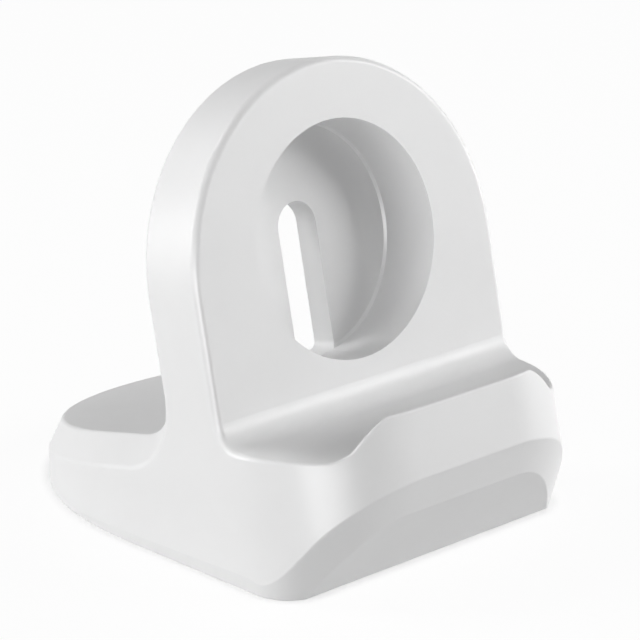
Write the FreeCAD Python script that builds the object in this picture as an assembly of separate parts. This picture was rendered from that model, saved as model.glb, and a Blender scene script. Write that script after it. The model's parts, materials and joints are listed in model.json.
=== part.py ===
import FreeCAD, Part
import os
import math
from FreeCAD import Vector

# Smartwatch charging dock: one moulded piece, an upright plate that leans back
# on a low foot. Millimetres, X right, Y to the back, Z up.
# The plate is drawn upright in its own frame (x, n, s): n is the depth behind
# the plate's front face and s runs up the plate, both from the recess centre.
# It is then leaned back and lifted. The foot is drawn in the upright frame.

# Driving dimensions of the plate
lean_deg = 12.4
rise = 34.8
half_width = 23.5
plate_thick = 11.7
arch_drop = 2.4
back_chamfer = 3.2
front_round = 0.8
outer_round = 0.8
inner_round = 0.5

# Charger recess and cable slot
recess_r = 14.0
recess_depth = 8.3
recess_corner = 0.3
slot_half = 3.0
slot_top_s = 1.5
slot_bottom_s = -13.9
slot_corner = 1.0
slot_start_n = 3.5

# Deck behind the plate, square to it: its height over the rear end of the foot
deck_end_z = 5.613
deck_fillet = 5.0
outer_fillet = 8.9
rear_start_gap = 1.3
rear_length = 31.5
deck_rear_inset = 4.51
band_drop = 0.025
low_split = 0.85

# Front wall of the foot: leans forward on its way down, with round corners
wall_front_y = -19.816
wall_slope = 0.225
corner_gap = 0.867

# Tapered lower band round the foot
under_inset = 0.45
under_inset_rear = 0.3
under_front_inset = 3.216
under_corner_r = 4.8
under_sweep_r = 22.1
under_turn_deg = 59.4
under_taper = 0.298
under_side_taper = 0.231
under_rear_extra = 2.5

# Sloped cut under the nose
toe_inset = 5.836
toe_top_z = 8.675

# Trough between the plate and the lip
trough_z = 16.23
foot_fillet = 3.25
lip_height = 4.52
lip_thick = 1.816
lip_run = 1.22
lip_fillet = 1.7
lip_round = 0.45
lip_edge_round = 0.25
band_round = 0.4

# Helper lengths, only long enough to pass through everything
reach = 70.0
tall = 60.0

lean = math.radians(lean_deg)
sin_l = math.sin(lean)
cos_l = math.cos(lean)

# Places that follow from the sizes above
rear_start_y = plate_thick + rear_start_gap
deck_s = (rear_start_y + rear_length) * sin_l + (deck_end_z - rise) * cos_l
under_front_y = wall_front_y + under_front_inset
toe_y = wall_front_y + toe_inset
lip_z = trough_z + lip_height
lip_inner_y = wall_front_y + lip_thick
lip_base_y = lip_inner_y + lip_run
wall_top_z = lip_z + 1.5
toe_slope = (toe_y - under_front_y) / toe_top_z + under_taper
outer_back_n = plate_thick - back_chamfer
outer_deck_s = deck_s - back_chamfer
deck_start_n = (rear_start_y - outer_deck_s * sin_l) / cos_l
outer_bend = min(outer_fillet, deck_start_n - outer_back_n - 0.5)


def placed(shape):
    """Lean a shape from the plate's own frame and lift it to its height."""
    out = shape.copy()
    turn = FreeCAD.Rotation(Vector(1, 0, 0), -lean_deg)
    out.Placement = FreeCAD.Placement(Vector(0, 0, rise), turn)
    return out


def closed_wire(edges):
    return Part.Wire(Part.__sortEdges__(edges))


def line(a, b):
    return Part.LineSegment(a, b).toShape()


def arc(a, m, b):
    return Part.Arc(a, m, b).toShape()


def arch_wire(half, n, low_s):
    """Front outline of the plate: straight sides under a half circle."""
    cz = -arch_drop
    p1 = Vector(-half, n, low_s)
    p2 = Vector(-half, n, cz)
    p3 = Vector(0, n, cz + half)
    p4 = Vector(half, n, cz)
    p5 = Vector(half, n, low_s)
    return Part.Wire([line(p1, p2), arc(p2, p3, p4), line(p4, p5), line(p5, p1)])


def back_wire(x, n_back, s_deck, fillet_r, n_low, s_top, n_end, s_low):
    """Side outline of the plate's back, its fillet and the deck."""
    c = Vector(x, n_back + fillet_r, s_deck + fillet_r)
    mid = c + Vector(0, -fillet_r * math.sqrt(0.5), -fillet_r * math.sqrt(0.5))
    p1 = Vector(x, n_low, s_top)
    p2 = Vector(x, n_back, s_top)
    p3 = Vector(x, n_back, c.z)
    p4 = Vector(x, c.y, s_deck)
    p5 = Vector(x, n_end, s_deck)
    p6 = Vector(x, n_end, s_low)
    p7 = Vector(x, n_low, s_low)
    edges = [line(p1, p2), line(p2, p3), arc(p3, mid, p4), line(p4, p5)]
    edges = edges + [line(p5, p6), line(p6, p7), line(p7, p1)]
    return Part.Wire(edges)


def ellipse_piece(cx, cy, z, semi_x, semi_y, a0, a1, drop=0.0):
    """Arc of an ellipse about (cx, cy, z), angles from +X, falling to the rear by drop."""
    long_end = Vector(cx, cy + semi_y, z - drop * semi_y)
    base = Part.Ellipse(long_end, Vector(cx + semi_x, cy, z), Vector(cx, cy, z))
    u = []
    for a in (a0, (a0 + a1) / 2.0, a1):
        rise_y = semi_y * math.sin(a)
        u.append(base.parameter(Vector(cx + semi_x * math.cos(a), cy + rise_y, z - drop * rise_y)))
    full = 2 * math.pi
    forward = (u[1] - u[0]) % full < (u[2] - u[0]) % full
    start, end = (u[0], u[2]) if forward else (u[2], u[0])
    if end < start:
        end = end + full
    return Part.ArcOfEllipse(base, start, end).toShape()


# 1. Plan outline of the rear of the foot, upright wall
pA = Vector(-half_width, -reach, 0)
pB = Vector(-half_width, rear_start_y, 0)
pC = Vector(half_width, rear_start_y, 0)
pD = Vector(half_width, -reach, 0)
rear_curve = ellipse_piece(0, rear_start_y, 0, half_width, rear_length, 0, math.pi)
plan = closed_wire([line(pA, pB), rear_curve, line(pC, pD), line(pD, pA)])
rear_body = Part.Face(plan).extrude(Vector(0, 0, tall))

# 2. Front wall: round corners carried down on a forward slope
def front_wire(z):
    """Outline of the foot's front wall at height z; its corners end in front of the plate."""
    yf = wall_front_y - wall_slope * (trough_z - z)
    cy = (z - rise) * sin_l / cos_l - corner_gap * (1.0 - z / wall_top_z)
    corner_r = cy - yf
    cx = half_width - corner_r
    k = corner_r * math.sqrt(0.5)
    q1 = Vector(-half_width, reach, z)
    q2 = Vector(-half_width, cy, z)
    q3 = Vector(-cx - k, cy - k, z)
    q4 = Vector(-cx, yf, z)
    q5 = Vector(cx, yf, z)
    q6 = Vector(cx + k, cy - k, z)
    q7 = Vector(half_width, cy, z)
    q8 = Vector(half_width, reach, z)
    front = [line(q1, q2), arc(q2, q3, q4), line(q4, q5), arc(q5, q6, q7)]
    return Part.Wire(front + [line(q7, q8), line(q8, q1)])


front_body = Part.makeLoft([front_wire(0.0), front_wire(wall_top_z)], True, True)


# 3. Tapered under-body
def under_wire(h):
    """Outline of the tapered lower band at height h, front to back."""
    grow = under_taper * h
    half_f = half_width - under_inset + under_side_taper * h
    half_r = half_width - under_inset_rear + under_side_taper * h
    yf = under_front_y - grow
    r1 = under_corner_r + grow
    r2 = under_sweep_r + grow
    turn = math.radians(under_turn_deg)
    y1 = yf + r1 * math.sin(turn) - r2 * math.sin(turn) + r2
    m1 = turn / 2.0
    m2 = (turn + math.pi / 2.0) / 2.0
    c1x = half_f - r1
    e1 = Vector(c1x + r1 * math.cos(turn), y1 - r1 * math.sin(turn), h)
    c2x = e1.x - r2 * math.cos(turn)
    c2y = e1.y + r2 * math.sin(turn)
    a = Vector(half_r, rear_start_y, h)
    b = Vector(half_f, y1, h)
    bm = Vector(c1x + r1 * math.cos(m1), y1 - r1 * math.sin(m1), h)
    cm = Vector(c2x + r2 * math.cos(m2), c2y - r2 * math.sin(m2), h)
    d = Vector(c2x, yf, h)
    flip = lambda v: Vector(-v.x, v.y, v.z)
    semi = rear_length + under_rear_extra + grow
    rear = ellipse_piece(0, rear_start_y, h, half_r, semi, 0, math.pi)
    right = [line(a, b), arc(b, bm, e1), arc(e1, cm, d)]
    left = [arc(flip(d), flip(cm), flip(e1)), arc(flip(e1), flip(bm), flip(b)), line(flip(b), flip(a))]
    return closed_wire(right + [line(d, flip(d))] + left + [rear])


under_body = Part.makeLoft([under_wire(0.0), under_wire(wall_top_z)], True, True)

# 4. Side profile of the trunk: lip, trough, foot of the plate, back and deck
def yz(n, s, x=0.0):
    return Vector(x, n * cos_l + s * sin_l, rise - n * sin_l + s * cos_l)


def rounded(points, x):
    """Closed wire through (y, z, radius) points with true arcs at the corners."""
    verts = []
    count = len(points)
    for i in range(count):
        y, z, r = points[i]
        p = Vector(x, y, z)
        if r <= 0:
            verts.append((p, p, p))
            continue
        a = Vector(x, points[i - 1][0], points[i - 1][1])
        b = Vector(x, points[(i + 1) % count][0], points[(i + 1) % count][1])
        da = a.sub(p).normalize()
        db = b.sub(p).normalize()
        half = da.getAngle(db) / 2.0
        cut = r / math.tan(half)
        centre = p.add(da.add(db).normalize().multiply(r / math.sin(half)))
        mid = centre.add(p.sub(centre).normalize().multiply(r))
        verts.append((p.add(Vector(da).multiply(cut)), mid, p.add(Vector(db).multiply(cut))))
    edges = []
    for i in range(count):
        s0, m0, e0 = verts[i]
        if s0.distanceToPoint(e0) > 1e-6:
            edges.append(arc(s0, m0, e0))
        nxt = verts[(i + 1) % count][0]
        if e0.distanceToPoint(nxt) > 1e-6:
            edges.append(line(e0, nxt))
    return Part.Wire(edges)


foot_s = (trough_z - rise) / cos_l
foot = yz(0, foot_s)
top_front = yz(0, reach)
top_back = yz(outer_back_n, reach)
corner_back = yz(outer_back_n, outer_deck_s)
deck_start = yz(deck_start_n, outer_deck_s)
deck_far = yz(deck_start_n + reach, outer_deck_s - band_drop * reach)
trunk_points = [
    (-reach, 0.0, 0),
    (-reach, lip_z, 0),
    (lip_inner_y, lip_z, lip_round),
    (lip_base_y, trough_z, lip_fillet),
    (foot.y, trough_z, foot_fillet),
    (top_front.y, top_front.z, 0),
    (top_back.y, top_back.z, 0),
    (corner_back.y, corner_back.z, outer_bend),
    (deck_start.y, deck_start.z, 0),
    (deck_far.y, deck_far.z, 0),
    (deck_far.y, deck_far.z - reach, 0),
    (-reach, deck_far.z - reach, 0),
]
profile = rounded(trunk_points, -half_width)
trunk = Part.Face(profile).extrude(Vector(2 * half_width, 0, 0))

# 5. The foot: everything under the lip height, wrapped by the plan outlines
foot_body = trunk.common(rear_body).common(front_body).common(under_body)
toe_pts = [
    Vector(-reach, toe_y + toe_slope, -1.0),
    Vector(-reach, toe_y - toe_slope * tall, tall),
    Vector(-reach, -2 * reach, tall),
    Vector(-reach, -2 * reach, -1.0),
]
toe_face = Part.Face(Part.makePolygon(toe_pts + [toe_pts[0]]))
toe_tool = toe_face.extrude(Vector(2 * reach, 0, 0))
foot_body = foot_body.cut(toe_tool)

# 6. The plate with its back chamfer
low_s = foot_s + 1.2
slab = Part.Face(arch_wire(half_width, 0, low_s)).extrude(Vector(0, outer_back_n, 0))
inner_half = half_width - back_chamfer
mid_s = outer_deck_s + outer_bend + 1.0
rim_wires = [arch_wire(half_width, outer_back_n, mid_s), arch_wire(inner_half, plate_thick, mid_s)]
rim = Part.makeLoft(rim_wires, True, True)

# 7. Back of the plate, its fillet and the front of the deck
s_low = outer_deck_s - 3.0
n_low = outer_back_n - 3.0
outer = (outer_back_n, outer_deck_s, outer_bend, n_low, mid_s, deck_start_n, s_low)
inner = (plate_thick, deck_s, deck_fillet, n_low, mid_s, deck_start_n, s_low)
sections = [
    back_wire(-half_width, *outer),
    back_wire(-inner_half, *inner),
    back_wire(inner_half, *inner),
    back_wire(half_width, *outer),
]
back_body = Part.makeLoft(sections, True, True)

# 8. Rear of the deck: ruled between the wall's outline and the deck's outline
low_semi = rear_length / (cos_l - band_drop * sin_l)
deck_end_n = deck_start_n + low_semi - deck_rear_inset - inner_half
turn_angle = low_split * math.asin(min(0.9, (deck_end_n - deck_start_n) / low_semi))
z0 = outer_deck_s
z1 = deck_s
a0 = Vector(half_width, deck_start_n, z0)
b0 = Vector(-half_width, deck_start_n, z0)
low = (0, deck_start_n, z0, half_width, low_semi)
low_edges = [
    line(b0, a0),
    ellipse_piece(*low, 0, turn_angle, band_drop),
    ellipse_piece(*low, turn_angle, math.pi - turn_angle, band_drop),
    ellipse_piece(*low, math.pi - turn_angle, math.pi, band_drop),
]
a1 = Vector(inner_half, deck_start_n, z1)
b1 = Vector(-inner_half, deck_start_n, z1)
a2 = Vector(inner_half, deck_end_n, z1)
b2 = Vector(-inner_half, deck_end_n, z1)
far = Vector(0, deck_end_n + inner_half, z1)
top_edges = [line(b1, a1), line(a1, a2), arc(a2, far, b2), line(b2, b1)]
cap = Part.makeLoft([closed_wire(low_edges), closed_wire(top_edges)], True, True)

body = foot_body.fuse([placed(slab), placed(rim), placed(back_body), placed(cap)])
body = body.removeSplitter()

# 9. Soft edges: every sharp outer edge is found by where it lies
def plate_depth(p):
    return p.y * cos_l - (p.z - rise) * sin_l


def plate_height(p):
    return p.y * sin_l + (p.z - rise) * cos_l


def at_middle(edge):
    return edge.valueAt((edge.FirstParameter + edge.LastParameter) / 2.0)


def sharp_edges(shape):
    """Numbers, edges and middles of the edges where two faces meet at an angle."""
    owners = {}
    for f in shape.Faces:
        for e in f.Edges:
            owners.setdefault(e.hashCode(), []).append(f)
    found = []
    for number, edge in enumerate(shape.Edges, 1):
        p = at_middle(edge)
        normals = []
        for f in owners[edge.hashCode()]:
            u, v = f.Surface.parameter(p)
            normals.append(f.normalAt(u, v))
        if len(normals) == 2 and normals[0].getAngle(normals[1]) > math.radians(12.0):
            found.append((number, edge, p))
    return found


def chain_of(p):
    """Which chain of edges a point belongs to."""
    n = plate_depth(p)
    s = plate_height(p)
    if abs(p.z) < 1e-6:
        return "sole"
    inner_arc = math.hypot(n - plate_thick - deck_fillet, s - deck_s - deck_fillet) - deck_fillet
    if min(abs(n - plate_thick), abs(s - deck_s), abs(inner_arc)) < 1e-3:
        return "inner back"
    outer_arc = math.hypot(n - outer_back_n - outer_bend, s - outer_deck_s - outer_bend) - outer_bend
    low_plane = s - outer_deck_s + band_drop * max(0.0, n - deck_start_n)
    if min(abs(n - outer_back_n), abs(outer_arc), abs(low_plane)) < 1e-3:
        return "outer back"
    if p.z > trough_z - 1e-3 and n < 1.0:
        return "front"
    return "band"


def softened(shape, items):
    """Round the numbered edges, each with a radius at its start and at its end."""
    doc = FreeCAD.newDocument("rounds")
    base = doc.addObject("Part::Feature", "base")
    base.Shape = shape
    rounded_part = doc.addObject("Part::Fillet", "rounded")
    rounded_part.Base = base
    rounded_part.Edges = items
    doc.recompute()
    out = rounded_part.Shape.copy()
    FreeCAD.closeDocument("rounds")
    return out


def front_radius(p):
    """Plate round that thins out along the trough's ends to the lip."""
    share = (p.y - lip_base_y) / (foot.y - lip_base_y)
    share = max(0.0, min(1.0, share))
    return lip_edge_round + (front_round - lip_edge_round) * share


def rounded_by(shape, radii):
    """Round every chain named in radii, a number or a rule for each."""
    items = []
    for number, edge, middle in sharp_edges(shape):
        rule = radii.get(chain_of(middle))
        if rule is None:
            continue
        ends = (edge.valueAt(edge.FirstParameter), edge.valueAt(edge.LastParameter))
        sizes = [rule(p) if callable(rule) else rule for p in ends]
        items.append((number, sizes[0], sizes[1]))
    return softened(shape, items)


body = rounded_by(body, {"front": front_radius, "band": band_round})
body = rounded_by(body, {"outer back": outer_round})
body = rounded_by(body, {"inner back": inner_round})

# 10. Charger recess and cable slot, cut along the plate's own depth
recess = Part.makeCylinder(recess_r, recess_depth + 5.0, Vector(0, -5.0, 0), Vector(0, 1, 0))
floor_edges = [e for e in recess.Edges if abs(at_middle(e).y - recess_depth) < 1e-6]
recess = recess.makeChamfer(recess_corner, floor_edges)
g = slot_corner
j = g * (1 - math.sqrt(0.5))
w = slot_half
sb = slot_bottom_s
st = slot_top_s
n0 = slot_start_n
slot_edges = [
    line(Vector(-w, n0, sb + g), Vector(-w, n0, st)),
    arc(Vector(-w, n0, st), Vector(0, n0, st + w), Vector(w, n0, st)),
    line(Vector(w, n0, st), Vector(w, n0, sb + g)),
    arc(Vector(w, n0, sb + g), Vector(w - j, n0, sb + j), Vector(w - g, n0, sb)),
    line(Vector(w - g, n0, sb), Vector(-w + g, n0, sb)),
    arc(Vector(-w + g, n0, sb), Vector(-w + j, n0, sb + j), Vector(-w, n0, sb + g)),
]
slot = Part.Face(Part.Wire(slot_edges)).extrude(Vector(0, plate_thick + 5.0, 0))
body = body.cut(placed(recess)).cut(placed(slot))

# 11. Stand it on the floor, centred over the origin
bb = body.optimalBoundingBox()
body.translate(Vector(0, -(bb.YMin + bb.YMax) / 2.0, -bb.ZMin))

print("valid", body.isValid(), "solids", len(body.Solids), "volume", round(body.Volume, 1))
print("recess centre y", round(-(bb.YMin + bb.YMax) / 2.0, 4), "z", round(rise - bb.ZMin, 4))
bb = body.optimalBoundingBox()
print("x", round(bb.XMin, 3), round(bb.XMax, 3))
print("y", round(bb.YMin, 3), round(bb.YMax, 3))
print("z", round(bb.ZMin, 3), round(bb.ZMax, 3))
print("faces", len(body.Faces), "edges", len(body.Edges))

os.makedirs("parts", exist_ok=True)
body.exportStep("parts/stand_body.step")
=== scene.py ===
import json
import math
import bpy
from mathutils import Matrix, Vector

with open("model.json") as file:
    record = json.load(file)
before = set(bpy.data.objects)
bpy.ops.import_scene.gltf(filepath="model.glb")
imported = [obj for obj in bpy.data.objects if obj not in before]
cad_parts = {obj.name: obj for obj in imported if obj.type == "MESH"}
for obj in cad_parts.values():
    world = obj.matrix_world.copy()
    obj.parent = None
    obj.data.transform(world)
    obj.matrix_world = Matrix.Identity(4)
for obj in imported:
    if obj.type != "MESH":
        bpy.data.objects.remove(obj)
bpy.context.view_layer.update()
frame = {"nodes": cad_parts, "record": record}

# Smartwatch charging dock in one moulded piece of satin white silicone.
# Metres, X right, Y to the back, Z up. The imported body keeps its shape: this
# script gives it its material, the studio and the camera.

MM = 0.001

# Camera, fitted to the photograph. HEADING turns it from straight ahead, DOWN
# tips it. Lens and sensor are in millimetres. The last three say how far to the
# right, up and ahead of the camera the centre of the recess's rim lies.
HEADING = math.radians(43.664)
DOWN = math.radians(18.353)
LENS = 177.7
SENSOR = 36.0
CLIP_NEAR = 0.02
CLIP_FAR = 50.0
RIM_ACROSS = 3.1316 * MM
RIM_UP = 9.3497 * MM
RIM_AWAY = 364.446 * MM

# Silicone: two near whites in soft patches, and a fine grain that varies the
# roughness and lifts the surface a little
IOR = 1.43
SPECULAR = 0.45
MOTTLE = {"Scale": 90.0, "Detail": 3.0, "Roughness": 0.5}
MOTTLE_TINTS = [
    (0.3, (0.815, 0.815, 0.817, 1.0)),
    (0.7, (0.835, 0.835, 0.837, 1.0)),
]
GRAIN = {"Scale": 5200.0, "Detail": 2.0, "Roughness": 0.6}
GRAIN_SPAN = (0.3, 0.7)
ROUGHNESS = (0.34, 0.42)
GRAIN_STRENGTH = 0.12
GRAIN_DEPTH = 0.03 * MM

# Lights: name, azimuth and elevation to the lamp in degrees, watts. Azimuth 0
# is in front of the plate, 90 on its right. All are square soft boxes of one
# size, at one distance from a point inside the dock. The cards show only as
# sheen.
LAMP_DISTANCE = 0.9
LAMP_SIZE = 0.3
LAMP_AIM = Vector((0.0, 0.0, 25.0 * MM))
LAMPS = [
    ("right_low", 69.0, 3.0, 2.4),
    ("right_high", 62.0, 14.0, 2.4),
    ("front_right", 40.0, 20.0, 2.6),
    ("front_high", 0.0, 60.0, 1.1),
    ("camera_side", -42.0, 10.0, 0.3),
    ("left_low", -84.0, 3.0, 4.6),
    ("left_rear", -120.0, 10.0, 1.6),
    ("left_rear_high", -150.0, 45.0, 2.9),
]
CARDS = [
    ("corner_card_right", -38.0, 6.0, 6.0),
    ("corner_card_left", -56.0, 6.0, 10.0),
    ("side_card", -126.0, 16.0, 6.0),
]
WORLD_STRENGTH = 0.02

# Floor: half its width, and how far it lies under the sole. FLOOR_WHITE is the
# plain white in what the camera sees, FLOOR_TONE the colour that throws light
# back. CONTACT_REACH is how near the object has to be for a contact shadow,
# which fades out over CONTACT_SPAN of open surroundings.
FLOOR_HALF = 6.0
FLOOR_DROP = 0.02 * MM
FLOOR_WHITE = 0.94
FLOOR_TONE = 0.6
CONTACT_REACH = 1.3 * MM
CONTACT_SPAN = (0.1, 1.0)
CONTACT_SAMPLES = 16


def rim_centre():
    """Centre of the recess's rim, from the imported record's mount."""
    for mount in frame["record"]["mounts"]:
        if mount["name"] == "charger_recess":
            half = mount["dims"]["length_mm"] * MM / 2.0
            return Vector(mount["pos_m"]) + Vector(mount["axis"]) * half
    raise ValueError("the record has no charger_recess")


def node_tree(owner):
    """The empty node tree of a material or world."""
    owner.use_nodes = True
    owner.node_tree.nodes.clear()
    return owner.node_tree


def add(tree, kind, **values):
    """A node with its inputs or properties set by name."""
    node = tree.nodes.new(kind)
    for name, value in values.items():
        if name in node.inputs:
            node.inputs[name].default_value = value
        else:
            setattr(node, name, value)
    return node


def map_range(tree, value, span, result):
    """The value, with span carried over to result and held at its ends."""
    node = add(tree, "ShaderNodeMapRange", clamp=True)
    for name, number in zip(("From Min", "From Max"), span):
        node.inputs[name].default_value = number
    for name, number in zip(("To Min", "To Max"), result):
        node.inputs[name].default_value = number
    tree.links.new(value, node.inputs["Value"])
    return node.outputs["Result"]


def silicone():
    """Satin white moulded silicone: a faint mottle and a fine matt grain."""
    material = bpy.data.materials.new("satin_silicone")
    tree = node_tree(material)
    link = tree.links.new
    out = add(tree, "ShaderNodeOutputMaterial")
    shader = add(tree, "ShaderNodeBsdfPrincipled", IOR=IOR)
    shader.inputs["Specular IOR Level"].default_value = SPECULAR
    link(shader.outputs["BSDF"], out.inputs["Surface"])
    place = add(tree, "ShaderNodeTexCoord")

    mottle = add(tree, "ShaderNodeTexNoise", **MOTTLE)
    link(place.outputs["Object"], mottle.inputs["Vector"])
    tint = add(tree, "ShaderNodeValToRGB")
    for stop, (position, colour) in zip(tint.color_ramp.elements, MOTTLE_TINTS):
        stop.position = position
        stop.color = colour
    link(mottle.outputs["Fac"], tint.inputs["Fac"])
    link(tint.outputs["Color"], shader.inputs["Base Color"])

    grain = add(tree, "ShaderNodeTexNoise", **GRAIN)
    link(place.outputs["Object"], grain.inputs["Vector"])
    rough = map_range(tree, grain.outputs["Fac"], GRAIN_SPAN, ROUGHNESS)
    link(rough, shader.inputs["Roughness"])
    bump = add(tree, "ShaderNodeBump", Strength=GRAIN_STRENGTH, Distance=GRAIN_DEPTH)
    link(grain.outputs["Fac"], bump.inputs["Height"])
    link(bump.outputs["Normal"], shader.inputs["Normal"])
    return material


def seen_directly(tree):
    """1 for camera, glossy and transmission rays, 0 for light that only fills."""
    rays = add(tree, "ShaderNodeLightPath")
    also = add(tree, "ShaderNodeMath", operation="ADD", use_clamp=True)
    tree.links.new(rays.outputs["Is Glossy Ray"], also.inputs[0])
    tree.links.new(rays.outputs["Is Transmission Ray"], also.inputs[1])
    seen = add(tree, "ShaderNodeMath", operation="ADD", use_clamp=True)
    tree.links.new(rays.outputs["Is Camera Ray"], seen.inputs[0])
    tree.links.new(also.outputs[0], seen.inputs[1])
    return seen.outputs[0]


def floor_paper():
    """Pale studio paper: near white to the camera, and it keeps a faint shadow.

    It throws less light back on the object than it shows the camera.
    """
    material = bpy.data.materials.new("studio_paper")
    tree = node_tree(material)
    link = tree.links.new
    out = add(tree, "ShaderNodeOutputMaterial")
    seen = seen_directly(tree)
    tone = add(tree, "ShaderNodeMath", operation="MULTIPLY_ADD")
    link(seen, tone.inputs[0])
    tone.inputs[1].default_value = 1.0 - FLOOR_TONE
    tone.inputs[2].default_value = FLOOR_TONE
    diffuse = add(tree, "ShaderNodeBsdfDiffuse")
    link(tone.outputs[0], diffuse.inputs["Color"])
    white = add(tree, "ShaderNodeEmission", Strength=1.0)
    # Where the object all but touches the paper, its own shading shows instead
    opening = add(tree, "ShaderNodeAmbientOcclusion", Distance=CONTACT_REACH)
    opening.samples = CONTACT_SAMPLES
    clear = map_range(tree, opening.outputs["AO"], CONTACT_SPAN, (0.0, FLOOR_WHITE))
    share = add(tree, "ShaderNodeMath", operation="MULTIPLY")
    link(seen, share.inputs[0])
    link(clear, share.inputs[1])
    mix = add(tree, "ShaderNodeMixShader")
    link(share.outputs[0], mix.inputs["Fac"])
    link(diffuse.outputs["BSDF"], mix.inputs[1])
    link(white.outputs["Emission"], mix.inputs[2])
    link(mix.outputs["Shader"], out.inputs["Surface"])
    return material


def studio_floor():
    """The sheet of paper that the dock stands on."""
    mesh = bpy.data.meshes.new("studio_floor")
    h = FLOOR_HALF
    corners = [(-h, -h, 0.0), (h, -h, 0.0), (h, h, 0.0), (-h, h, 0.0)]
    mesh.from_pydata(corners, [], [(0, 1, 2, 3)])
    floor = bpy.data.objects.new("studio_floor", mesh)
    bpy.context.scene.collection.objects.link(floor)
    floor.data.materials.append(floor_paper())
    floor.location.z = -FLOOR_DROP


def studio_world():
    """Faint even fill, and plain white where the camera looks past the floor."""
    world = bpy.data.worlds.new("studio")
    bpy.context.scene.world = world
    tree = node_tree(world)
    link = tree.links.new
    out = add(tree, "ShaderNodeOutputWorld")
    soft = add(tree, "ShaderNodeBackground", Strength=WORLD_STRENGTH)
    white = add(tree, "ShaderNodeBackground", Strength=1.0)
    mix = add(tree, "ShaderNodeMixShader")
    link(seen_directly(tree), mix.inputs["Fac"])
    link(soft.outputs["Background"], mix.inputs[1])
    link(white.outputs["Background"], mix.inputs[2])
    link(mix.outputs["Shader"], out.inputs["Surface"])


def lamp(name, azimuth, elevation, watts):
    """A square soft box aimed at the dock."""
    round_by = math.radians(azimuth)
    up_by = math.radians(elevation)
    towards = Vector((
        math.sin(round_by) * math.cos(up_by),
        -math.cos(round_by) * math.cos(up_by),
        math.sin(up_by),
    ))
    data = bpy.data.lights.new(name, "AREA")
    data.shape = "SQUARE"
    data.size = LAMP_SIZE
    data.energy = watts
    obj = bpy.data.objects.new(name, data)
    bpy.context.scene.collection.objects.link(obj)
    obj.location = LAMP_AIM + towards * LAMP_DISTANCE
    obj.rotation_mode = "QUATERNION"
    obj.rotation_quaternion = (-towards).to_track_quat("-Z", "Y")
    return obj


def place_camera():
    """The photograph's camera, placed from the rim's centre."""
    right = Vector((math.cos(HEADING), -math.sin(HEADING), 0.0))
    ahead = Vector((
        math.sin(HEADING) * math.cos(DOWN),
        math.cos(HEADING) * math.cos(DOWN),
        -math.sin(DOWN),
    ))
    up = right.cross(ahead)
    data = bpy.data.cameras.new("photo_camera")
    data.lens = LENS
    data.sensor_width = SENSOR
    data.clip_start = CLIP_NEAR
    data.clip_end = CLIP_FAR
    camera = bpy.data.objects.new("photo_camera", data)
    bpy.context.scene.collection.objects.link(camera)
    spot = rim_centre() - right * RIM_ACROSS - up * RIM_UP - ahead * RIM_AWAY
    turn = Matrix((right, up, -ahead)).transposed().to_4x4()
    camera.matrix_world = Matrix.Translation(spot) @ turn
    bpy.context.scene.camera = camera


# The dock itself
body_material = silicone()
for slot in frame["nodes"]["stand_body"].material_slots:
    slot.material = body_material

# The studio
studio_floor()
studio_world()
for row in LAMPS:
    lamp(*row)
for row in CARDS:
    lamp(*row).visible_diffuse = False
place_camera()
bpy.context.scene.view_settings.view_transform = "Standard"
